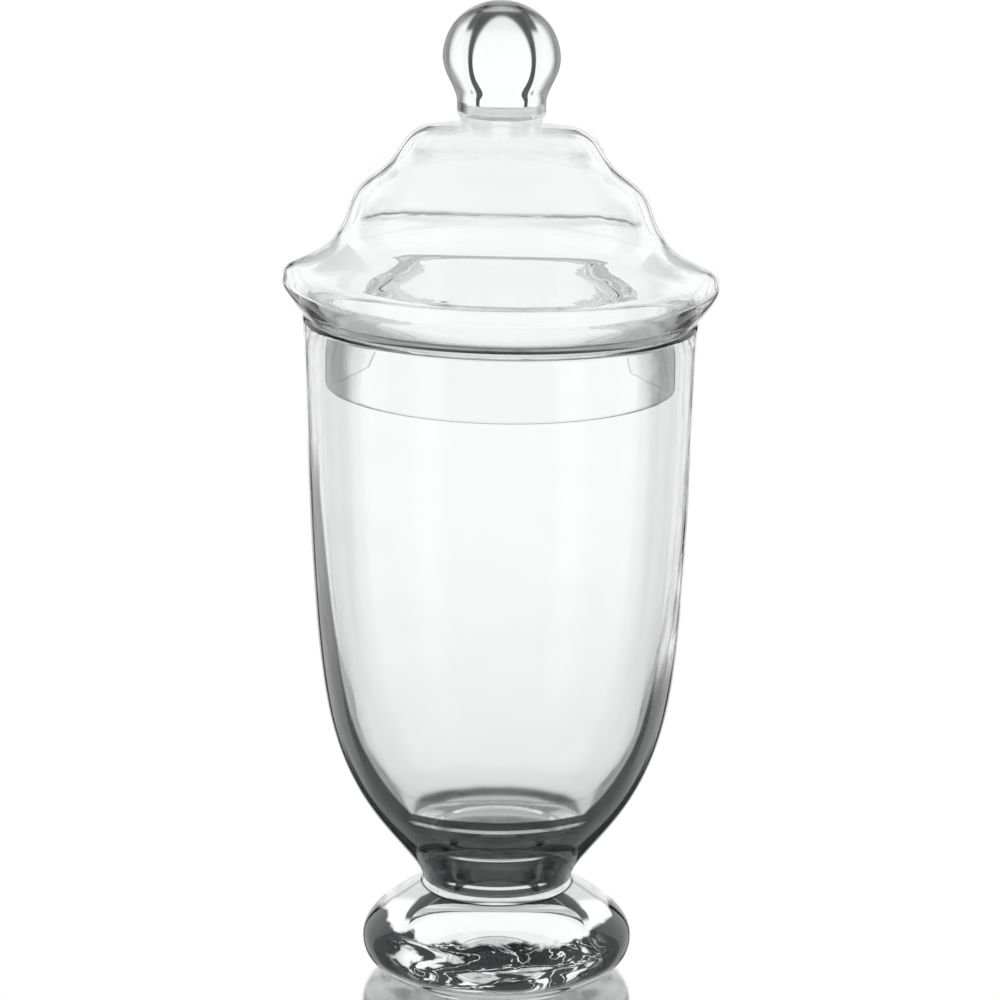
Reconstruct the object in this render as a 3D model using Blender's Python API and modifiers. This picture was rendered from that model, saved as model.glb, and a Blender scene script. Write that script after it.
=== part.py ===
"""Apothecary jar in clear blown glass: a tall bowl on a solid foot, and a stepped dome lid.

Run it with: blender --background --python part.py, or from Blender's text editor.
Lengths are in metres. The jar stands on z = 0 and +Z is its axis. Every piece is turned about
that axis. The lid is loose: it hangs from the empty lid_lift, which lies on the axis that the
lid is lifted along. The gathers of glass that a glassmaker fuses hot are separate pieces here.
"""

import math

import bpy
import numpy as np

MM = 0.001
TURN_STEPS = 40         # flats round every turned piece
CURVE_STEPS = 2         # straight lines to each stretch of a curve
ARC_STEPS = 4           # straight lines to each rounded edge
MERGE_DISTANCE = 0.00005

# Gaps
FUSED_GAP = 0.3 * MM    # between two gathers of glass that are fused hot
SEAT_GAP = 0.3 * MM     # between the bowl's rim and the lid's flange

# Foot
FOOT_RADIUS = 48.9 * MM
FOOT_HEIGHT = 33.9 * MM
REST_RADIUS = 35.0 * MM     # outer edge of the flat ring that the jar stands on
REST_WIDTH = 10.0 * MM
PUNT_DEPTH = 5.0 * MM       # hollow under the foot

# Disc between the foot and the bowl
STEM_RADIUS = 27.3 * MM
DISC_THICKNESS = 3.1 * MM

# Bowl
BOWL_HEIGHT = 206.9 * MM
RIM_RADIUS = 69.5 * MM
RIM_WALL = 3.2 * MM
BASE_THICKNESS = 15.3 * MM  # solid glass under the bowl's floor

# Lid
LID_OVERHANG = 7.1 * MM     # how far the lid's bulge stands out past the rim
DOME_HEIGHT = 72.3 * MM     # flange's underside to the knob's ring
DOME_WALL = 3.6 * MM
FLANGE_THICKNESS = 3.2 * MM
FLANGE_INSET = 0.7 * MM     # flange's outer edge inside the rim's outer edge
COLLAR_CLEARANCE = 4.5 * MM     # all round, between the collar and the inside of the rim
COLLAR_WALL = 3.0 * MM
COLLAR_DEPTH = 24.2 * MM

# Knob
NECK_RADIUS = 15.5 * MM
RING_THICKNESS = 2.8 * MM
KNOB_RADIUS = 20.5 * MM
KNOB_HEIGHT = 34.6 * MM
KNOB_CROWN = 19.5 * MM      # height of the knob above its widest place

# Places and sizes that follow from the ones above
DISC_BASE = FOOT_HEIGHT + FUSED_GAP
BOWL_BASE = DISC_BASE + DISC_THICKNESS + FUSED_GAP
LID_BASE = BOWL_BASE + BOWL_HEIGHT + SEAT_GAP
COLLAR_RADIUS = RIM_RADIUS - RIM_WALL - COLLAR_CLEARANCE
BULGE_RADIUS = RIM_RADIUS + LID_OVERHANG
RING_BASE = DOME_HEIGHT + FUSED_GAP
KNOB_BASE = RING_BASE + RING_THICKNESS + FUSED_GAP

# Shapes of the outlines between those sizes. Each pair is a share of the way across and a
# share of the way down, and the first and last pairs are the ends.
FOOT_SHAPE = [(0.0, 0.0), (0.38, 0.17), (0.62, 0.28), (0.89, 0.44), (1.0, 0.59), (0.965, 0.75),
              (0.8, 0.865)]
BOWL_SHAPE = [(0.0, 0.0), (0.055, 0.346), (0.105, 0.537), (0.187, 0.679), (0.31, 0.775),
              (0.56, 0.875), (0.915, 0.97), (1.0, 1.0)]
CAVITY_SHAPE = [(0.0, 0.0), (0.033, 0.37), (0.078, 0.58), (0.148, 0.73), (0.241, 0.835),
                (0.43, 0.94), (0.62, 0.983), (1.0, 1.0)]
DOME_SHAPE = [(0.0, 0.0), (0.17, 0.047), (0.28, 0.12), (0.35, 0.205), (0.42, 0.26), (0.55, 0.358),
              (0.62, 0.474), (0.65, 0.54), (0.71, 0.6), (0.96, 0.738), (1.0, 0.81), (0.993, 0.86)]
NECK_SHAPE = [(0.3, 0.42), (0.81, 0.78), (1.0, 1.0)]
CROWN_ANGLES = (120.0, 90.0, 60.0, 30.0, 0.0)

# Colour of the glass: clear, with a faint grey green
GLASS_COLOUR = (0.93, 0.96, 0.945, 1.0)
GLASS_INDEX = 1.5
GLASS_ROUGHNESS = 0.02


def remove_old_objects():
    """Empty the scene."""
    for item in list(bpy.data.objects):
        bpy.data.objects.remove(item, do_unlink=True)


def new_collection(name):
    """Make a collection in the scene."""
    collection = bpy.data.collections.new(name)
    bpy.context.scene.collection.children.link(collection)
    return collection


def glass(name):
    """Make clear glass for one piece."""
    material = bpy.data.materials.new(name)
    material.use_nodes = True
    shader = material.node_tree.nodes["Principled BSDF"]
    shader.inputs["Base Color"].default_value = GLASS_COLOUR
    shader.inputs["Metallic"].default_value = 0.0
    shader.inputs["Roughness"].default_value = GLASS_ROUGHNESS
    shader.inputs["IOR"].default_value = GLASS_INDEX
    shader.inputs["Transmission Weight"].default_value = 1.0
    return material


def smooth_curve(knots, steps=CURVE_STEPS):
    """Points along the natural cubic curve through the knots, with steps lines to a stretch."""
    knots = np.array(knots, dtype=float)
    stretch = np.sqrt(np.linalg.norm(np.diff(knots, axis=0), axis=1))
    count = len(knots)
    system = np.eye(count)
    right = np.zeros((count, 2))
    for i in range(1, count - 1):
        before, after = stretch[i - 1], stretch[i]
        system[i, i - 1:i + 2] = before, 2.0 * (before + after), after
        right[i] = 6.0 * ((knots[i + 1] - knots[i]) / after - (knots[i] - knots[i - 1]) / before)
    bend = np.linalg.solve(system, right)
    points = []
    for i in range(count - 1):
        for b in np.linspace(0.0, 1.0, steps, endpoint=False):
            a = 1.0 - b
            sag = (a ** 3 - a) * bend[i] + (b ** 3 - b) * bend[i + 1]
            points.append(a * knots[i] + b * knots[i + 1] + sag * stretch[i] ** 2 / 6.0)
    points.append(knots[-1])
    return [(float(x), float(z)) for x, z in points]


def placed(shape, start, end):
    """Put a shape's pairs between two corners, each given as a radius and a height."""
    return [(start[0] + across * (end[0] - start[0]), start[1] + down * (end[1] - start[1]))
            for across, down in shape]


def arc(centre, radius, first, last):
    """Points along an arc, with the angles in degrees from the outward direction."""
    angles = np.radians(np.linspace(first, last, ARC_STEPS + 1))
    return [(centre[0] + radius * math.cos(a), centre[1] + radius * math.sin(a)) for a in angles]


def inset(outline, wall):
    """Move each point of an outline that runs down the outside inwards by the wall."""
    points = np.array(outline)
    along = np.gradient(points, axis=0)
    along /= np.linalg.norm(along, axis=1)[:, None]
    inward = np.stack([along[:, 1], -along[:, 0]], axis=1)
    return [(float(x), float(z)) for x, z in points + wall * inward]


def turned(name, outline, height, parent, collection):
    """Turn an outline about the axis. It runs down the outside, then back up the inside."""
    on_axis = outline[0][0] < MERGE_DISTANCE and outline[-1][0] < MERGE_DISTANCE
    count = len(outline)
    edges = [(i, i + 1) for i in range(count - 1)]
    if not on_axis:
        edges.append((count - 1, 0))
    mesh = bpy.data.meshes.new(name)
    mesh.from_pydata([(max(radius, 0.0), 0.0, z) for radius, z in outline], edges, [])
    mesh.materials.append(glass(name + "_glass"))
    piece = bpy.data.objects.new(name, mesh)
    piece.location = (0.0, 0.0, height)
    piece.parent = parent
    collection.objects.link(piece)
    turn = piece.modifiers.new("Turn", 'SCREW')
    turn.axis = 'Z'
    turn.angle = math.tau
    turn.steps = TURN_STEPS
    turn.render_steps = TURN_STEPS
    turn.use_merge_vertices = True
    turn.merge_threshold = MERGE_DISTANCE
    turn.use_smooth_shade = True
    return piece


def foot(parent, collection):
    """Solid puck with a flat ring to stand on and a hollow inside the ring."""
    side = placed(FOOT_SHAPE, (STEM_RADIUS, FOOT_HEIGHT), (FOOT_RADIUS, 0.0))
    punt_radius = REST_RADIUS - REST_WIDTH
    sphere = (punt_radius ** 2 + PUNT_DEPTH ** 2) / (2.0 * PUNT_DEPTH)
    edge = math.degrees(math.asin(punt_radius / sphere))
    outline = [(0.0, FOOT_HEIGHT)]
    outline += smooth_curve(side + [(REST_RADIUS, 0.0)])
    outline += arc((0.0, PUNT_DEPTH - sphere), sphere, 90.0 - edge, 90.0)
    return turned("foot", outline, 0.0, parent, collection)


def stem_disc(parent, collection):
    """Flat disc of glass that joins the bowl to the foot."""
    outline = [(0.0, DISC_THICKNESS), (STEM_RADIUS, DISC_THICKNESS), (STEM_RADIUS, 0.0), (0.0, 0.0)]
    return turned("stem_disc", outline, DISC_BASE, parent, collection)


def bowl(parent, collection):
    """Tall bowl that narrows to the stem, with a thick base and a half-round rim."""
    lip = RIM_WALL / 2.0
    lip_centre = (RIM_RADIUS - lip, BOWL_HEIGHT - lip)
    outside = placed(BOWL_SHAPE, (RIM_RADIUS, BOWL_HEIGHT - lip), (STEM_RADIUS, 0.0))
    inside = placed(CAVITY_SHAPE, (RIM_RADIUS - RIM_WALL, BOWL_HEIGHT - lip), (0.0, BASE_THICKNESS))
    outline = smooth_curve(inside)[::-1]
    outline += arc(lip_centre, lip, 180.0, 0.0)[1:-1]
    outline += smooth_curve(outside)
    outline.append((0.0, 0.0))
    return turned("bowl", outline, BOWL_BASE, parent, collection)


def lid_dome(parent, collection):
    """Hollow dome in two steps over a wide bulge, with a flange that rests on the rim."""
    side = placed(DOME_SHAPE, (NECK_RADIUS, DOME_HEIGHT), (BULGE_RADIUS, 0.0))
    outside = smooth_curve(side + [(RIM_RADIUS - FLANGE_INSET, 0.0)])
    collar_bore = COLLAR_RADIUS - COLLAR_WALL
    inside = [(radius, z) for radius, z in inset(outside, DOME_WALL) if z > 1.5 * FLANGE_THICKNESS]
    outline = [(0.0, DOME_HEIGHT)] + outside
    outline += [(collar_bore, 0.0), (collar_bore, FLANGE_THICKNESS)]
    outline += inside[::-1]
    outline.append((0.0, DOME_HEIGHT - DOME_WALL))
    return turned("lid_dome", outline, 0.0, parent, collection)


def lid_collar(parent, collection):
    """Ring under the lid's flange that keeps the lid centred in the rim."""
    rounding = COLLAR_WALL / 2.0
    middle = COLLAR_RADIUS - rounding
    outline = [(COLLAR_RADIUS, 0.0)]
    outline += arc((middle, rounding - COLLAR_DEPTH), rounding, 0.0, -180.0)
    outline.append((COLLAR_RADIUS - COLLAR_WALL, 0.0))
    return turned("lid_collar", outline, -FUSED_GAP, parent, collection)


def knob_ring(parent, collection):
    """Small disc of glass between the dome and the knob's neck."""
    outline = [(0.0, RING_THICKNESS), (NECK_RADIUS, RING_THICKNESS), (NECK_RADIUS, 0.0), (0.0, 0.0)]
    return turned("knob_ring", outline, RING_BASE, parent, collection)


def lid_knob(parent, collection):
    """Solid ball with a short neck, to lift the lid by."""
    belly = KNOB_HEIGHT - KNOB_CROWN
    crown = [(KNOB_RADIUS * math.cos(angle), belly + KNOB_CROWN * math.sin(angle))
             for angle in map(math.radians, CROWN_ANGLES)]
    neck = placed(NECK_SHAPE, (KNOB_RADIUS, belly), (NECK_RADIUS, 0.0))
    outline = smooth_curve(crown + neck)[CURVE_STEPS:]
    outline.append((0.0, 0.0))
    return turned("lid_knob", outline, KNOB_BASE, parent, collection)


def main():
    """Build the jar, and the lid on its empty."""
    remove_old_objects()
    collection = new_collection("apothecary_jar")
    jar = bpy.data.objects.new("jar", None)
    lid_lift = bpy.data.objects.new("lid_lift", None)
    lid_lift.location = (0.0, 0.0, LID_BASE)
    for empty in (jar, lid_lift):
        collection.objects.link(empty)
    for build in (foot, stem_disc, bowl):
        build(jar, collection)
    for build in (lid_dome, lid_collar, knob_ring, lid_knob):
        build(lid_lift, collection)


main()
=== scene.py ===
import math

import bmesh
import bpy
import numpy as np
from bpy.props import FloatProperty, FloatVectorProperty, IntProperty, PointerProperty
from mathutils import Matrix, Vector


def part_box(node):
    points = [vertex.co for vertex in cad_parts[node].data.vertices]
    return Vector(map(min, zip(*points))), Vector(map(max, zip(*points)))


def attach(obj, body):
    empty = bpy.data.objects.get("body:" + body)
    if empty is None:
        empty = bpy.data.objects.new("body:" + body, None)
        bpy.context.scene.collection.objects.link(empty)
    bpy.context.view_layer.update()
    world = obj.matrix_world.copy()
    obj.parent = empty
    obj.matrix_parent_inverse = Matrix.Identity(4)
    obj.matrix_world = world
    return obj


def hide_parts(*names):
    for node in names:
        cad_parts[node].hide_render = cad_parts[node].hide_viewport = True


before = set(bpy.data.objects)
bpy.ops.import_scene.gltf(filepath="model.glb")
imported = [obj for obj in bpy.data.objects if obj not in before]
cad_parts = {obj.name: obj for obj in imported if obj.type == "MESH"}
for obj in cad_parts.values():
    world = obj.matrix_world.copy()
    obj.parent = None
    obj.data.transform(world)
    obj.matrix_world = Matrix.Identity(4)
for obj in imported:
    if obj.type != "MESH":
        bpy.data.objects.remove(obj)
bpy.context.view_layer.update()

bl_info = {
    "name": "Apothecary Jar",
    "version": (1, 0, 0),
    "blender": (4, 5, 0),
    "location": "View3D > Sidebar > Apothecary Jar",
    "description": "Blown glass apothecary jar with a stepped dome lid, and its studio",
    "category": "Add Mesh",
}

# Light round the jar, from straight behind it to the front and alike on both sides: for each
# panel the angle in degrees where it ends, its light low down and its light higher up.
PANELS = ((24.7, 1.05, 0.95), (32.5, 1.0, 0.02), (53.0, 1.05, 0.7), (80.0, 0.45, 0.65),
          (100.0, 1.05, 0.8), (125.0, 0.85, 0.8), (145.0, 1.05, 0.8), (180.0, 0.85, 0.8))
PANEL_SOFT = 0.8                # degrees to each side of a panel's end in which the light changes
LOW_TURN = (32.0, 34.0)         # angles between which the lower light gets taller
LOW_TOP = (25.0, 33.0)          # rise in degrees where the lower light ends, before and after
LOW_FADE = 3.0                  # degrees in which it goes over into the upper light
OVERHEAD = (48.0, 52.0)         # rise in degrees where the light overhead begins

# The panel straight behind the jar has a round top and a dark border, in degrees.
ARCH_SIDE = 20.9
ARCH_TOP = 41.0
ARCH_EDGE = (0.97, 1.02)        # share of its size between which it turns dark
BORDER_SIDE = (24.2, 25.2)
BORDER_TOP = (47.0, 49.0)
BORDER_DARKNESS = 0.98

FLOOR_SIZE = 16.0
FLOOR_DROP = 0.0003             # gap between the foot and the floor
FLOOR_COLOUR = (0.97, 0.97, 0.97, 1.0)
FLOOR_ROUGHNESS = 0.13
CAMERA_SIDE = 0.0003            # how far the camera stands to the right of the jar's axis
LIGHT_BOUNCES = 64              # light runs far inside the flange and the collar

# Outlines between named sizes: each pair is a share of the way across and of the way down.
FOOT_SHAPE = [(0.0, 0.0), (0.38, 0.17), (0.62, 0.28), (0.89, 0.44), (1.0, 0.59), (0.965, 0.75),
              (0.8, 0.865)]
BOWL_SHAPE = [(0.0, 0.0), (0.055, 0.346), (0.105, 0.537), (0.187, 0.679), (0.31, 0.775),
              (0.56, 0.875), (0.915, 0.97), (1.0, 1.0)]
CAVITY_SHAPE = [(0.0, 0.0), (0.033, 0.37), (0.078, 0.58), (0.148, 0.73), (0.241, 0.835),
                (0.43, 0.94), (0.62, 0.983), (1.0, 1.0), (1.38, 0.983)]
DOME_SHAPE = [(0.0, 0.0), (0.17, 0.047), (0.28, 0.12), (0.35, 0.205), (0.42, 0.26), (0.55, 0.358),
              (0.62, 0.474), (0.65, 0.54), (0.71, 0.6), (0.96, 0.738), (1.0, 0.81), (0.993, 0.86)]
NECK_SHAPE = [(0.3, 0.42), (0.81, 0.78), (1.0, 1.0)]
CROWN_ANGLES = (120.0, 90.0, 60.0, 30.0, 0.0)

# The painted shade on the outer glass of the bowl: dark edges, faint grey and a dark solid base.
# Heights are above the floor. Facing runs from 0, seen straight on, to 1, seen along the surface.
BOWL_SOFT_FACING = (0.15, 0.65)     # painted shade: faint grey towards the edges
BOWL_SOFT_EDGE = 0.16
BOWL_SOFT_HEIGHT = (0.07, 0.20)     # painted shade: faint grey that thins out upwards
BOWL_SOFT_LOW = 0.14
EDGE_WANDER = (20.0, 0.015)         # noise along the painted dark edge: scale and amount
EDGE_LOW = (0.076, 0.097)           # heights between which the dark edge narrows a little
EDGE_LOW_FACING = (0.47, 0.525)     # facing where it starts at those heights
EDGE_HIGH = (0.097, 0.19)           # heights between which it narrows further
EDGE_HIGH_GAIN = 0.15               # facing added over those heights
EDGE_SOFT = (-0.015, 0.025)         # facing round the start over which it sets in
EDGE_START = (0.0722, 0.0732)       # height where the dark edge begins
EDGE_FADE = (0.085, 0.205)          # heights between which it fades
EDGE_DARKNESS = (0.99, 0.75)
# The painted shade of the edges reaches higher on the left than on the right.
EDGE_SPAN = (-0.02, 0.02)           # from left to right
EDGE_TOP = (0.2, 0.125)             # height where it ends at the left and at the right
EDGE_TOP_SOFT = 0.014
SOLID_TOP = (0.0736, 0.0746)        # height where the painted shade over the solid base ends
SOLID_TOP_WANDER = (35.0, 0.0008)
SOLID_FACING = (0.48, 0.54)
SOLID_BASE_SHADE = (0.93, 0.99)
SOLID_LINES_FACING = (0.50, 0.56)   # facing between which the bright lines left out of the painted shade fade out

# Thin rings: height, half of the width, and width of the soft border.
# The lines in the solid base are bright gaps left in its painted shade.
SOLID_LINES = ((0.0697, 0.0006, 0.0003), (0.0556, 0.0005, 0.0003), (0.0408, 0.0005, 0.0004))
DISC_RING = (0.0371, 0.0004, 0.0003)
DISC_RING_DARKNESS = 0.85
FOOT_RING = (0.0340, 0.0003, 0.0003)
FOOT_RING_DARKNESS = 0.93

# The painted shade on the outer glass of the foot, and of the flange that rests on the rim.
FOOT_DARK_TOP = 0.0235              # height where the painted shade over the lower half ends
FOOT_DARK_SOFT = 0.0006
FOOT_DARK_WANDER = (75.0, 0.0050)
FOOT_UNDERSIDE = (0.0075, 0.0105)   # heights between which the foot turns under
FOOT_DARKNESS = (0.45, 0.99)
SQUIGGLE_SCALE = 42.0
SQUIGGLE_STRETCH = (1.0, 1.0, 3.4)
SQUIGGLE_PATCH = (0.53, 0.60)       # noise between which the bright patches left out of the painted shade begin
SQUIGGLE_VEIN = (0.44, 0.004, 0.010)    # noise at the bright veins left out of the painted shade, half of the width, border
SQUIGGLE_FACING = (0.20, 0.44)      # facing between which both fade out
FLANGE_TURN = (0.2560, 0.2590)      # heights between which the flange turns up into the bulge
FLANGE_FACING = (0.3, 0.5)
FLANGE_DARKNESS = 0.4

# The painted shade on the outer glass of the collar, of the disc under the knob, and of the knob.
COLLAR_WANDER = (70.0, 0.09)
COLLAR_FACING = (0.40, 0.66)
COLLAR_DARKNESS = 0.62
# Painted shade: dark upright streaks towards the edges of the disc under the knob.
STREAK_SCALE = 75.0
STREAK_STRETCH = (1.0, 1.0, 0.15)
STREAK_RANGE = (0.42, 0.60)
STREAK_DARKNESS = (0.3, 0.9)
STREAK_FACING = (0.30, 0.50)
KNOB_FACING = (0.42, 0.60)
KNOB_DARKNESS = 0.7

# Cloudy tint and ripples in all the glass.
CLOUD_SCALE = 18.0
CLOUD_STRETCH = (1.0, 1.0, 2.5)
CLOUD_RANGE = (0.35, 0.65)
CLOUD_TINT = 0.985
RIPPLE_SCALE = 55.0
RIPPLE_STRETCH = (1.0, 1.0, 0.6)
BLACK = (0.0006, 0.0009, 0.0009, 1.0)   # painted shade: what the thick glass shows where no light reaches

CURVE_STEPS = 12
ARC_STEPS = 10
ON_AXIS = 1e-7                      # a radius below this lies on the axis
LEDGE_GAP = 0.0015                  # the lid's inner wall starts this far above the flange
LEAN_HEIGHT = 0.08                  # stretch under the rim over which the lean sets in
WAVES = ((3.0, 31.0, 0.0), (5.0, -47.0, 1.0))   # unevenness: waves to a turn, climb, offset
INSIDE, SEAM, OUTSIDE = 0, 1, 2     # material slots: inner faces, fused faces, outer faces


def node_size(node):
    """Radius, base height and top height of a node of the frame."""
    low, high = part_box(node)
    return high[0], low[2], high[2]


FOOT_RADIUS, FOOT_BASE, FOOT_TOP = node_size("foot")
STEM_RADIUS = node_size("stem_disc")[0]
RIM_RADIUS, BOWL_BASE, RIM_TOP = node_size("bowl")
BULGE_RADIUS, FLANGE_BASE, DOME_TOP = node_size("lid_dome")
COLLAR_RADIUS, COLLAR_BASE = node_size("lid_collar")[:2]
NECK_RADIUS = node_size("knob_ring")[0]
KNOB_RADIUS, KNOB_BASE, KNOB_TOP = node_size("lid_knob")
LEAN_START = RIM_TOP - LEAN_HEIGHT


class JarSizes(bpy.types.PropertyGroup):
    """Sizes of the jar that its outer box doesn't give."""

    rim_wall: FloatProperty(
        name="Rim wall", description="Thickness of the bowl at its rim", default=0.0032,
        unit='LENGTH')
    base_thickness: FloatProperty(
        name="Base thickness", description="Solid glass under the bowl's floor", default=0.0153,
        unit='LENGTH')
    rest_radius: FloatProperty(
        name="Rest radius", description="Outer edge of the ring the jar stands on", default=0.035,
        unit='LENGTH')
    rest_width: FloatProperty(
        name="Rest width", description="Width of the ring the jar stands on", default=0.010,
        unit='LENGTH')
    punt_depth: FloatProperty(
        name="Punt depth", description="Depth of the hollow under the foot", default=0.005,
        unit='LENGTH')
    dome_wall: FloatProperty(
        name="Dome wall", description="Thickness of the lid", default=0.0036, unit='LENGTH')
    flange_thickness: FloatProperty(
        name="Flange thickness", description="Thickness of the ring that rests on the rim",
        default=0.0032, unit='LENGTH')
    flange_inset: FloatProperty(
        name="Flange inset", description="Flange's outer edge inside the rim's outer edge",
        default=0.0007, unit='LENGTH')
    collar_wall: FloatProperty(
        name="Collar wall", description="Thickness of the ring inside the mouth", default=0.003,
        unit='LENGTH')
    knob_crown: FloatProperty(
        name="Knob crown", description="Height of the knob above its widest place",
        default=0.0195, unit='LENGTH')
    unevenness: FloatProperty(
        name="Unevenness", description="How far the glass wanders from round", default=0.00004,
        unit='LENGTH')
    lean: FloatProperty(
        name="Lean", description="Tilt of the rim and the lid", default=0.018, subtype='ANGLE')
    turn_steps: IntProperty(
        name="Turn steps", description="Facets round each turned piece", default=192, min=12)


class JarGlass(bpy.types.PropertyGroup):
    """Colours of the glass."""

    thin_tint: FloatVectorProperty(
        name="Thin glass", description="Colour of the blown walls", default=(0.985, 0.993, 0.99),
        size=3, min=0.0, max=1.0, subtype='COLOR')
    solid_tint: FloatVectorProperty(
        name="Solid glass", description="Colour of the thick pieces", default=(0.97, 0.985, 0.98),
        size=3, min=0.0, max=1.0, subtype='COLOR')
    index: FloatProperty(
        name="Index", description="Index of refraction", default=1.5, min=1.0, max=3.0)
    ripple: FloatProperty(
        name="Ripple", description="Depth of the ripples in the surface", default=0.0001,
        unit='LENGTH')


class JarStudio(bpy.types.PropertyGroup):
    """Camera, floor and light."""

    lens: FloatProperty(
        name="Lens", description="Focal length in millimetres", default=141.2)
    camera_pitch: FloatProperty(
        name="Camera pitch", description="How far the camera looks down", default=0.26564,
        subtype='ANGLE')
    camera_roll: FloatProperty(
        name="Camera roll", description="Turn of the camera about its own axis", default=0.0063,
        subtype='ANGLE')
    camera_distance: FloatProperty(
        name="Camera distance", description="Level distance from the jar's axis",
        default=1.3462, unit='LENGTH')
    camera_height: FloatProperty(
        name="Camera height", description="Height above the floor", default=0.5433,
        unit='LENGTH')
    top_light: FloatProperty(
        name="Top light", description="Brightness of the light overhead", default=0.5)


def smooth_curve(knots, steps=CURVE_STEPS):
    """Points along the natural cubic curve through the knots, with steps lines to a stretch."""
    knots = np.array(knots, dtype=float)
    stretch = np.sqrt(np.linalg.norm(np.diff(knots, axis=0), axis=1))
    count = len(knots)
    system = np.eye(count)
    right = np.zeros((count, 2))
    for i in range(1, count - 1):
        before, after = stretch[i - 1], stretch[i]
        system[i, i - 1:i + 2] = before, 2.0 * (before + after), after
        right[i] = 6.0 * ((knots[i + 1] - knots[i]) / after - (knots[i] - knots[i - 1]) / before)
    bend = np.linalg.solve(system, right)
    points = []
    for i in range(count - 1):
        for b in np.linspace(0.0, 1.0, steps, endpoint=False):
            a = 1.0 - b
            sag = (a ** 3 - a) * bend[i] + (b ** 3 - b) * bend[i + 1]
            points.append(a * knots[i] + b * knots[i + 1] + sag * stretch[i] ** 2 / 6.0)
    points.append(knots[-1])
    return [(float(x), float(z)) for x, z in points]


def placed(shape, start, end):
    """Put a shape's pairs between two corners, each given as a radius and a height."""
    return [(start[0] + across * (end[0] - start[0]), start[1] + down * (end[1] - start[1]))
            for across, down in shape]


def arc(centre, radius, first, last, steps=ARC_STEPS):
    """Points along an arc, with the angles in degrees from the outward direction."""
    angles = np.radians(np.linspace(first, last, steps + 1))
    return [(centre[0] + radius * math.cos(a), centre[1] + radius * math.sin(a)) for a in angles]


def inset(outline, wall):
    """Move each point of an outline that runs down the outside inwards by the wall."""
    points = np.array(outline)
    along = np.gradient(points, axis=0)
    along /= np.linalg.norm(along, axis=1)[:, None]
    inward = np.stack([along[:, 1], -along[:, 0]], axis=1)
    return [(float(x), float(z)) for x, z in points + wall * inward]


def turned_point(radius, z, angle):
    """A point of a turned piece, with the slight unevenness and lean of blown glass."""
    sizes = bpy.context.scene.jar_sizes
    wave = sum(math.sin(count * angle + climb * z + offset) for count, climb, offset in WAVES)
    x = (radius + sizes.unevenness * wave * min(radius / RIM_RADIUS, 1.0)) * math.cos(angle)
    y = radius * math.sin(angle)
    share = min(max((z - LEAN_START) / (RIM_TOP - LEAN_START), 0.0), 1.0)
    share = share * share * (3.0 - 2.0 * share)
    return x, y, z - x * math.tan(sizes.lean) * share


def lathe(name, stretches, steps):
    """Turn an outline about the axis into a closed mesh.

    stretches is a list of (points, slot): the outline runs down the outside and back up the
    inside, each stretch starts where the one before ends, and slot is its faces' material.
    """
    outline = []
    slots = []
    sharp = set()
    for points, slot in stretches:
        start = 1 if outline else 0
        outline += points[start:]
        slots += [slot] * (len(points) - 1)
        sharp.add(len(outline) - 1)
    closed = outline[0][0] > ON_AXIS
    if closed:
        outline.pop()
        sharp = {i % len(outline) for i in sharp}
    work = bmesh.new()
    rings = []
    for radius, z in outline:
        if radius < ON_AXIS:
            rings.append([work.verts.new((0.0, 0.0, z))] * steps)
            continue
        rings.append([work.verts.new(turned_point(radius, z, math.tau * k / steps))
                      for k in range(steps)])
    pairs = list(zip(range(len(rings)), list(range(1, len(rings))) + ([0] if closed else [])))
    for (a, b), slot in zip(pairs, slots):
        for k in range(steps):
            n = (k + 1) % steps
            corners = [rings[a][k], rings[b][k], rings[b][n], rings[a][n]]
            loop = []
            for corner in corners:
                if corner not in loop:
                    loop.append(corner)
            face = work.faces.new(loop)
            face.material_index = slot
            face.smooth = True
    for i in sharp:
        ring = rings[i]
        if ring[0] is ring[1]:
            continue
        for k in range(steps):
            edge = work.edges.get((ring[k], ring[(k + 1) % steps]))
            if edge:
                edge.smooth = False
    work.normal_update()
    mesh = bpy.data.meshes.new(name)
    work.to_mesh(mesh)
    work.free()
    piece = bpy.data.objects.new(name, mesh)
    bpy.context.scene.collection.objects.link(piece)
    return piece


class NodeRow:
    """Adds nodes to a node tree one after another."""

    def __init__(self, tree):
        self.tree = tree

    def feed(self, socket, value):
        """Set a plain value on a socket, or link another node's output to it."""
        if isinstance(value, bpy.types.NodeSocket):
            self.tree.links.new(value, socket)
        else:
            socket.default_value = value

    def node(self, kind, **inputs):
        """Add a node. Each input is a plain value or another node's output."""
        node = self.tree.nodes.new(kind)
        for name, value in inputs.items():
            self.feed(node.inputs[name.replace("_", " ")], value)
        return node

    def math(self, operation, *values):
        """Add one sum."""
        node = self.tree.nodes.new("ShaderNodeMath")
        node.operation = operation
        for socket, value in zip(node.inputs, values):
            self.feed(socket, value)
        return node.outputs[0]

    def ramp(self, value, low, high, to_low=0.0, to_high=1.0, kind='SMOOTHSTEP'):
        """Map a value from one range to another and hold it at both ends."""
        node = self.node("ShaderNodeMapRange", Value=value, From_Min=low, From_Max=high,
                         To_Min=to_low, To_Max=to_high)
        node.interpolation_type = kind
        return node.outputs["Result"]

    def band(self, value, middle, half, soft):
        """1 where a value is near the middle, 0 away from it."""
        away = self.math('ABSOLUTE', self.math('SUBTRACT', value, middle))
        return self.ramp(away, half, half + soft, 1.0, 0.0)

    def blend(self, share, first, second):
        """Mix two colours, each a plain value or another node's output."""
        node = self.tree.nodes.new("ShaderNodeMix")
        node.data_type = 'RGBA'
        self.feed(node.inputs[0], share)
        self.feed(node.inputs[6], first)
        self.feed(node.inputs[7], second)
        return node.outputs[2]

    def all_of(self, *masks):
        """Product of masks."""
        product = masks[0]
        for mask in masks[1:]:
            product = self.math('MULTIPLY', product, mask)
        return product

    def any_of(self, *masks):
        """Largest of masks."""
        largest = masks[0]
        for mask in masks[1:]:
            largest = self.math('MAXIMUM', largest, mask)
        return largest


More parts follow.
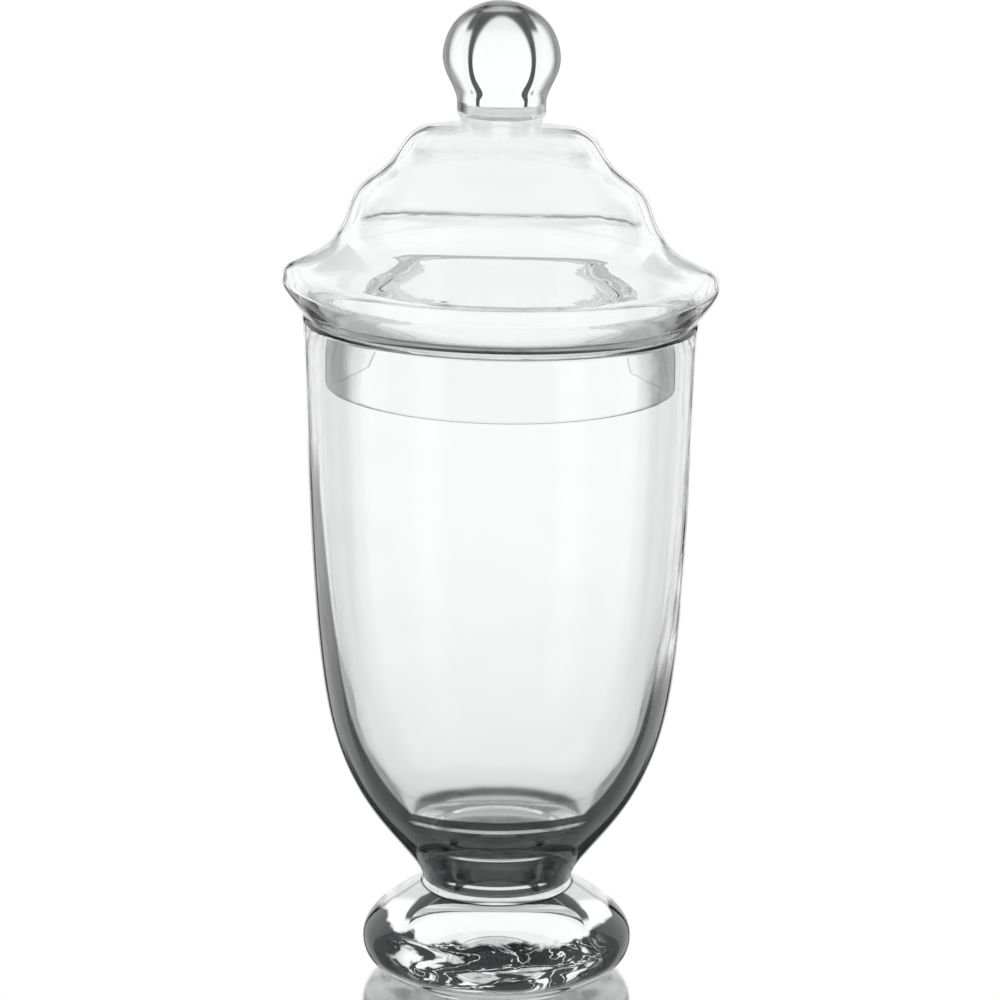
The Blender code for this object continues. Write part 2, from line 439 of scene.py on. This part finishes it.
class GlassRow(NodeRow):
    """Node row for one glass, with the height, side and facing of the surface."""

    def __init__(self, tree):
        super().__init__(tree)
        self.place = tree.nodes.new("ShaderNodeTexCoord").outputs["Object"]
        parts = self.node("ShaderNodeSeparateXYZ", Vector=self.place)
        self.x = parts.outputs["X"]
        self.z = parts.outputs["Z"]
        self.facing = tree.nodes.new("ShaderNodeLayerWeight").outputs["Facing"]
        self.backfacing = tree.nodes.new("ShaderNodeNewGeometry").outputs["Backfacing"]

    def noise(self, scale, stretch=(1.0, 1.0, 1.0), detail=2.0, distortion=0.0):
        """Cloudy texture between about 0.2 and 0.8."""
        place = self.node("ShaderNodeMapping", Vector=self.place, Scale=stretch).outputs[0]
        return self.node("ShaderNodeTexNoise", Vector=place, Scale=scale, Detail=detail,
                         Distortion=distortion).outputs[0]

    def wander(self, scale, amount, **details):
        """Noise about zero."""
        return self.math('MULTIPLY_ADD', self.noise(scale, **details), 2.0 * amount, -amount)


def principled(name):
    """New material with one Principled shader."""
    material = bpy.data.materials.new(name)
    material.use_nodes = True
    return material, material.node_tree.nodes["Principled BSDF"]


def blown_glass(name, tint, ripple, shade=None):
    """Clear glass with a cloudy tint and a slight ripple. shade gives the mask of the painted shade
    in its colour.
    """
    material, shader = principled(name)
    row = GlassRow(material.node_tree)
    cloud = row.ramp(row.noise(CLOUD_SCALE, stretch=CLOUD_STRETCH), *CLOUD_RANGE)
    colour = row.blend(cloud, (*tint, 1.0), (*(CLOUD_TINT * part for part in tint), 1.0))
    if shade:
        # Painted shade: under the mask the colour goes towards BLACK, where light enters the glass
        # from outside.
        entering = row.math('SUBTRACT', 1.0, row.backfacing)
        kept = row.math('SUBTRACT', 1.0, row.all_of(shade(row), entering))
        colour = row.blend(row.math('MULTIPLY', kept, kept), BLACK, colour)
    row.tree.links.new(colour, shader.inputs["Base Color"])
    bump = row.node("ShaderNodeBump", Height=row.noise(RIPPLE_SCALE, stretch=RIPPLE_STRETCH),
                    Distance=ripple, Strength=1.0)
    row.tree.links.new(bump.outputs[0], shader.inputs["Normal"])
    shader.inputs["Roughness"].default_value = 0.0
    shader.inputs["IOR"].default_value = bpy.context.scene.jar_glass.index
    shader.inputs["Transmission Weight"].default_value = 1.0
    return material


def fused_seam():
    """Faces where two gathers are fused: nothing is seen there."""
    material = bpy.data.materials.get("fused_seam")
    if material:
        return material
    material, shader = principled("fused_seam")
    shader.inputs["Alpha"].default_value = 0.0
    shader.inputs["Specular IOR Level"].default_value = 0.0
    return material


def bowl_shade(row):
    """Painted shade: dark edges that reach further in lower down and higher on the left, faint grey,
    and a dark solid base with bright lines left out.
    """
    facing = row.math('ADD', row.facing, row.wander(*EDGE_WANDER))
    start = row.math('ADD', row.ramp(row.z, *EDGE_LOW, *EDGE_LOW_FACING, 'LINEAR'),
                     row.ramp(row.z, *EDGE_HIGH, 0.0, EDGE_HIGH_GAIN, 'LINEAR'))
    inside = row.ramp(row.math('SUBTRACT', facing, start), *EDGE_SOFT)
    upwards = row.ramp(row.z, *EDGE_START)
    fade = row.ramp(row.z, *EDGE_FADE, *EDGE_DARKNESS)
    top = row.ramp(row.x, *EDGE_SPAN, *EDGE_TOP)
    below = row.ramp(row.math('SUBTRACT', top, row.z), -EDGE_TOP_SOFT, EDGE_TOP_SOFT)
    edges = row.all_of(inside, fade, below, upwards)
    soft = row.math('ADD', row.ramp(row.facing, *BOWL_SOFT_FACING, 0.0, BOWL_SOFT_EDGE),
                    row.ramp(row.z, *BOWL_SOFT_HEIGHT, BOWL_SOFT_LOW, 0.0))
    # Painted shade over the solid base, with bright lines left out of it.
    height = row.math('ADD', row.z, row.wander(*SOLID_TOP_WANDER))
    lines = row.all_of(row.any_of(*(row.band(row.z, *line) for line in SOLID_LINES)),
                       row.ramp(row.facing, *SOLID_LINES_FACING, 1.0, 0.0))
    base = row.all_of(row.ramp(height, *SOLID_TOP, 1.0, 0.0),
                      row.ramp(row.facing, *SOLID_FACING, *SOLID_BASE_SHADE),
                      row.math('SUBTRACT', 1.0, lines))
    return row.any_of(edges, soft, base)


def foot_shade(row):
    """Painted shade: dark lower half with bright squiggles left out, and dark at its edges."""
    top = row.math('ADD', FOOT_DARK_TOP, row.wander(*FOOT_DARK_WANDER, detail=4.0))
    lower = row.ramp(row.math('SUBTRACT', top, row.z), -FOOT_DARK_SOFT, FOOT_DARK_SOFT)
    flow = row.noise(SQUIGGLE_SCALE, stretch=SQUIGGLE_STRETCH, detail=5.0, distortion=1.8)
    patch = row.ramp(flow, *SQUIGGLE_PATCH)
    vein = row.band(flow, *SQUIGGLE_VEIN)
    clear = row.ramp(row.facing, *SQUIGGLE_FACING, 1.0, 0.0)
    bright = row.all_of(row.any_of(patch, vein), clear)
    darkness = row.ramp(row.z, *FOOT_UNDERSIDE, *FOOT_DARKNESS)
    ring = row.all_of(row.band(row.z, *FOOT_RING), FOOT_RING_DARKNESS)
    return row.any_of(ring, row.all_of(lower, row.math('SUBTRACT', 1.0, bright), darkness))


def disc_shade(row):
    """Dark ring round the disc, close under the bowl."""
    return row.all_of(row.band(row.z, *DISC_RING), DISC_RING_DARKNESS)


def dome_shade(row):
    """Painted shade: grey edge where the flange turns over the rim."""
    return row.all_of(row.ramp(row.z, *FLANGE_TURN, 1.0, 0.0),
                      row.ramp(row.facing, *FLANGE_FACING, 0.0, FLANGE_DARKNESS))


def knob_shade(row):
    """Painted shade: grey edge of the ball."""
    return row.ramp(row.facing, *KNOB_FACING, 0.0, KNOB_DARKNESS)


def ring_shade(row):
    """Painted shade: upright dark streaks in the disc under the knob."""
    streaks = row.ramp(row.noise(STREAK_SCALE, stretch=STREAK_STRETCH), *STREAK_RANGE,
                       *STREAK_DARKNESS)
    return row.all_of(streaks, row.ramp(row.facing, *STREAK_FACING))


def collar_shade(row):
    """Painted shade: grey edges with a ragged outline."""
    ragged = row.math('ADD', row.facing, row.wander(*COLLAR_WANDER, detail=5.0, distortion=1.0))
    return row.ramp(ragged, *COLLAR_FACING, 0.0, COLLAR_DARKNESS)


def finish_piece(piece, body, node, solid, shade=None):
    """Give a piece its glass, its body and the node it stands for."""
    look = bpy.context.scene.jar_glass
    tint = tuple(look.solid_tint if solid else look.thin_tint)
    name = piece.name
    piece.data.materials.append(blown_glass(name, tint, look.ripple))
    piece.data.materials.append(fused_seam())
    piece.data.materials.append(blown_glass(name + "_outside", tint, look.ripple, shade))
    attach(piece, body)
    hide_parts(node)


class JAR_OT_foot(bpy.types.Operator):
    """Add the solid foot"""

    bl_idname = "jar.foot"
    bl_label = "Foot"

    def execute(self, context):
        sizes = context.scene.jar_sizes
        side = placed(FOOT_SHAPE, (STEM_RADIUS, FOOT_TOP), (FOOT_RADIUS, FOOT_BASE))
        side = smooth_curve(side + [(sizes.rest_radius, FOOT_BASE)])
        punt_radius = sizes.rest_radius - sizes.rest_width
        sphere = (punt_radius ** 2 + sizes.punt_depth ** 2) / (2.0 * sizes.punt_depth)
        edge = math.degrees(math.asin(punt_radius / sphere))
        punt = arc((0.0, FOOT_BASE + sizes.punt_depth - sphere), sphere, 90.0 - edge, 90.0)
        punt[-1] = (0.0, punt[-1][1])
        stretches = [
            ([(0.0, FOOT_TOP), (STEM_RADIUS, FOOT_TOP)], SEAM),
            (side, OUTSIDE),
            ([side[-1], punt[0]], INSIDE),
            (punt, INSIDE),
        ]
        piece = lathe("foot_glass", stretches, sizes.turn_steps)
        finish_piece(piece, "jar", "foot", True, foot_shade)
        return {'FINISHED'}


class JAR_OT_stem_disc(bpy.types.Operator):
    """Add the disc between the foot and the bowl"""

    bl_idname = "jar.stem_disc"
    bl_label = "Stem disc"

    def execute(self, context):
        sizes = context.scene.jar_sizes
        stretches = [
            ([(0.0, BOWL_BASE), (STEM_RADIUS, BOWL_BASE)], SEAM),
            ([(STEM_RADIUS, BOWL_BASE), (STEM_RADIUS, FOOT_TOP)], OUTSIDE),
            ([(STEM_RADIUS, FOOT_TOP), (0.0, FOOT_TOP)], SEAM),
        ]
        piece = lathe("stem_disc_glass", stretches, sizes.turn_steps)
        finish_piece(piece, "jar", "stem_disc", True, disc_shade)
        return {'FINISHED'}


class JAR_OT_bowl(bpy.types.Operator):
    """Add the bowl"""

    bl_idname = "jar.bowl"
    bl_label = "Bowl"

    def execute(self, context):
        sizes = context.scene.jar_sizes
        lip = sizes.rim_wall / 2.0
        floor = BOWL_BASE + sizes.base_thickness
        outside = smooth_curve(
            placed(BOWL_SHAPE, (RIM_RADIUS, RIM_TOP - lip), (STEM_RADIUS, BOWL_BASE)))
        inside = smooth_curve(
            placed(CAVITY_SHAPE, (RIM_RADIUS - sizes.rim_wall, RIM_TOP - lip), (0.0, floor)))
        inside = inside[:-CURVE_STEPS][::-1]
        inside[0] = (0.0, floor)
        rim = arc((RIM_RADIUS - lip, RIM_TOP - lip), lip, 180.0, 0.0)
        stretches = [
            (inside[:-1] + rim, INSIDE),
            ([rim[-1]] + outside[1:], OUTSIDE),
            ([outside[-1], (0.0, BOWL_BASE)], SEAM),
        ]
        piece = lathe("bowl_glass", stretches, sizes.turn_steps)
        finish_piece(piece, "jar", "bowl", False, bowl_shade)
        return {'FINISHED'}


class JAR_OT_lid_dome(bpy.types.Operator):
    """Add the hollow lid"""

    bl_idname = "jar.lid_dome"
    bl_label = "Lid dome"

    def execute(self, context):
        sizes = context.scene.jar_sizes
        side = placed(DOME_SHAPE, (NECK_RADIUS, DOME_TOP), (BULGE_RADIUS, FLANGE_BASE))
        outside = smooth_curve(side + [(RIM_RADIUS - sizes.flange_inset, FLANGE_BASE)])
        bore = COLLAR_RADIUS - sizes.collar_wall
        ledge = FLANGE_BASE + sizes.flange_thickness
        inner = inset(outside, sizes.dome_wall)
        inner = [(radius, z) for radius, z in inner if z > ledge + LEDGE_GAP]
        crown = DOME_TOP - sizes.dome_wall
        stretches = [
            ([(0.0, DOME_TOP), (NECK_RADIUS, DOME_TOP)], SEAM),
            (outside, OUTSIDE),
            ([outside[-1], (COLLAR_RADIUS, FLANGE_BASE)], INSIDE),
            ([(COLLAR_RADIUS, FLANGE_BASE), (bore, FLANGE_BASE)], SEAM),
            ([(bore, FLANGE_BASE), (bore, ledge)] + inner[::-1] + [(0.0, crown)], INSIDE),
        ]
        piece = lathe("lid_dome_glass", stretches, sizes.turn_steps)
        finish_piece(piece, "lid", "lid_dome", False, dome_shade)
        return {'FINISHED'}


class JAR_OT_lid_collar(bpy.types.Operator):
    """Add the collar inside the mouth"""

    bl_idname = "jar.lid_collar"
    bl_label = "Lid collar"

    def execute(self, context):
        sizes = context.scene.jar_sizes
        rounding = sizes.collar_wall / 2.0
        bore = COLLAR_RADIUS - sizes.collar_wall
        edge = arc((COLLAR_RADIUS - rounding, COLLAR_BASE + rounding), rounding, 0.0, -180.0)
        stretches = [
            ([(COLLAR_RADIUS, FLANGE_BASE)] + edge[:ARC_STEPS // 2 + 1], OUTSIDE),
            (edge[ARC_STEPS // 2:] + [(bore, FLANGE_BASE)], INSIDE),
            ([(bore, FLANGE_BASE), (COLLAR_RADIUS, FLANGE_BASE)], SEAM),
        ]
        piece = lathe("lid_collar_glass", stretches, sizes.turn_steps)
        finish_piece(piece, "lid", "lid_collar", False, collar_shade)
        return {'FINISHED'}


class JAR_OT_knob_ring(bpy.types.Operator):
    """Add the disc under the knob"""

    bl_idname = "jar.knob_ring"
    bl_label = "Knob ring"

    def execute(self, context):
        sizes = context.scene.jar_sizes
        stretches = [
            ([(0.0, KNOB_BASE), (NECK_RADIUS, KNOB_BASE)], SEAM),
            ([(NECK_RADIUS, KNOB_BASE), (NECK_RADIUS, DOME_TOP)], OUTSIDE),
            ([(NECK_RADIUS, DOME_TOP), (0.0, DOME_TOP)], SEAM),
        ]
        piece = lathe("knob_ring_glass", stretches, sizes.turn_steps)
        finish_piece(piece, "lid", "knob_ring", True, ring_shade)
        return {'FINISHED'}


class JAR_OT_lid_knob(bpy.types.Operator):
    """Add the knob"""

    bl_idname = "jar.lid_knob"
    bl_label = "Lid knob"

    def execute(self, context):
        sizes = context.scene.jar_sizes
        belly = KNOB_TOP - sizes.knob_crown
        crown = [(KNOB_RADIUS * math.cos(angle), belly + sizes.knob_crown * math.sin(angle))
                 for angle in map(math.radians, CROWN_ANGLES)]
        neck = placed(NECK_SHAPE, (KNOB_RADIUS, belly), (NECK_RADIUS, KNOB_BASE))
        side = smooth_curve(crown + neck)[CURVE_STEPS:]
        side[0] = (0.0, side[0][1])
        stretches = [
            (side, OUTSIDE),
            ([side[-1], (0.0, KNOB_BASE)], SEAM),
        ]
        piece = lathe("lid_knob_glass", stretches, sizes.turn_steps)
        finish_piece(piece, "lid", "lid_knob", True, knob_shade)
        return {'FINISHED'}


def studio_world(studio):
    """Light panels all round, a dark border to the one behind, and soft light from above."""
    world = bpy.data.worlds.new("studio")
    bpy.context.scene.world = world
    world.use_nodes = True
    tree = world.node_tree
    row = NodeRow(tree)
    direction = tree.nodes.new("ShaderNodeTexCoord")
    parts = row.node("ShaderNodeSeparateXYZ", Vector=direction.outputs["Generated"])
    turn = row.math('ABSOLUTE', row.math('ARCTAN2', parts.outputs["X"], parts.outputs["Y"]))
    turn = row.math('DEGREES', turn)
    rise = row.math('DEGREES', row.math('ARCSINE', parts.outputs["Z"]))
    low = PANELS[0][1]
    high = PANELS[0][2]
    for before, after in zip(PANELS, PANELS[1:]):
        end = (before[0] - PANEL_SOFT, before[0] + PANEL_SOFT)
        low = row.math('ADD', low, row.ramp(turn, *end, 0.0, after[1] - before[1]))
        high = row.math('ADD', high, row.ramp(turn, *end, 0.0, after[2] - before[2]))
    low_top = row.ramp(turn, *LOW_TURN, *LOW_TOP, 'LINEAR')
    upper = row.ramp(row.math('SUBTRACT', rise, low_top), 0.0, LOW_FADE)
    across = row.math('MULTIPLY', turn, 1.0 / ARCH_SIDE)
    along = row.math('MULTIPLY', rise, 1.0 / ARCH_TOP)
    reach = row.math('SQRT', row.math('ADD', row.math('MULTIPLY', across, across),
                                      row.math('MULTIPLY', along, along)))
    border = row.all_of(row.ramp(reach, *ARCH_EDGE),
                        row.ramp(turn, *BORDER_SIDE, 1.0, 0.0),
                        row.ramp(rise, *BORDER_TOP, 1.0, 0.0),
                        BORDER_DARKNESS)
    overhead = row.ramp(rise, *OVERHEAD)
    light = row.math('MULTIPLY_ADD', row.math('SUBTRACT', high, low), upper, low)
    light = row.math('MULTIPLY_ADD', row.math('SUBTRACT', studio.top_light, light), overhead,
                     light)
    light = row.math('MULTIPLY', light, row.math('SUBTRACT', 1.0, border))
    background = tree.nodes["Background"]
    tree.links.new(light, background.inputs["Color"])
    background.inputs["Strength"].default_value = 1.0


class JAR_OT_studio(bpy.types.Operator):
    """Add the floor, the light and the camera"""

    bl_idname = "jar.studio"
    bl_label = "Studio"

    def execute(self, context):
        scene = context.scene
        studio = scene.jar_studio
        scene.view_settings.view_transform = 'Standard'
        for bounces in ("max_bounces", "transmission_bounces", "glossy_bounces",
                        "transparent_max_bounces"):
            setattr(scene.cycles, bounces, LIGHT_BOUNCES)
        bpy.ops.mesh.primitive_plane_add(size=FLOOR_SIZE,
                                         location=(0.0, 0.0, FOOT_BASE - FLOOR_DROP))
        floor = context.object
        floor.name = "floor"
        material, shader = principled("floor_white")
        shader.inputs["Base Color"].default_value = FLOOR_COLOUR
        shader.inputs["Metallic"].default_value = 1.0
        shader.inputs["Roughness"].default_value = FLOOR_ROUGHNESS
        floor.data.materials.append(material)
        studio_world(studio)
        data = bpy.data.cameras.new("camera")
        data.lens = studio.lens
        camera = bpy.data.objects.new("camera", data)
        camera.matrix_world = (
            Matrix.Translation((CAMERA_SIDE, -studio.camera_distance, studio.camera_height))
            @ Matrix.Rotation(math.pi / 2 - studio.camera_pitch, 4, 'X')
            @ Matrix.Rotation(studio.camera_roll, 4, 'Z'))
        scene.collection.objects.link(camera)
        scene.camera = camera
        return {'FINISHED'}


PIECES = (JAR_OT_foot, JAR_OT_stem_disc, JAR_OT_bowl, JAR_OT_lid_dome, JAR_OT_lid_collar,
          JAR_OT_knob_ring, JAR_OT_lid_knob, JAR_OT_studio)


class JAR_PT_panel(bpy.types.Panel):
    """Lists the pieces of the jar"""

    bl_label = "Apothecary Jar"
    bl_space_type = 'VIEW_3D'
    bl_region_type = 'UI'
    bl_category = "Apothecary Jar"

    def draw(self, context):
        for piece in PIECES:
            self.layout.operator(piece.bl_idname)


CLASSES = (JarSizes, JarGlass, JarStudio, *PIECES, JAR_PT_panel)


def register():
    """Add the classes and the jar's settings."""
    for cls in CLASSES:
        bpy.utils.register_class(cls)
    bpy.types.Scene.jar_sizes = PointerProperty(type=JarSizes)
    bpy.types.Scene.jar_glass = PointerProperty(type=JarGlass)
    bpy.types.Scene.jar_studio = PointerProperty(type=JarStudio)


def unregister():
    """Take the settings and the classes away again."""
    del bpy.types.Scene.jar_studio
    del bpy.types.Scene.jar_glass
    del bpy.types.Scene.jar_sizes
    for cls in reversed(CLASSES):
        bpy.utils.unregister_class(cls)


def main():
    """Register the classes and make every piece."""
    register()
    for piece in PIECES:
        group, name = piece.bl_idname.split(".")
        getattr(getattr(bpy.ops, group), name)()


if __name__ == "__main__":
    main()
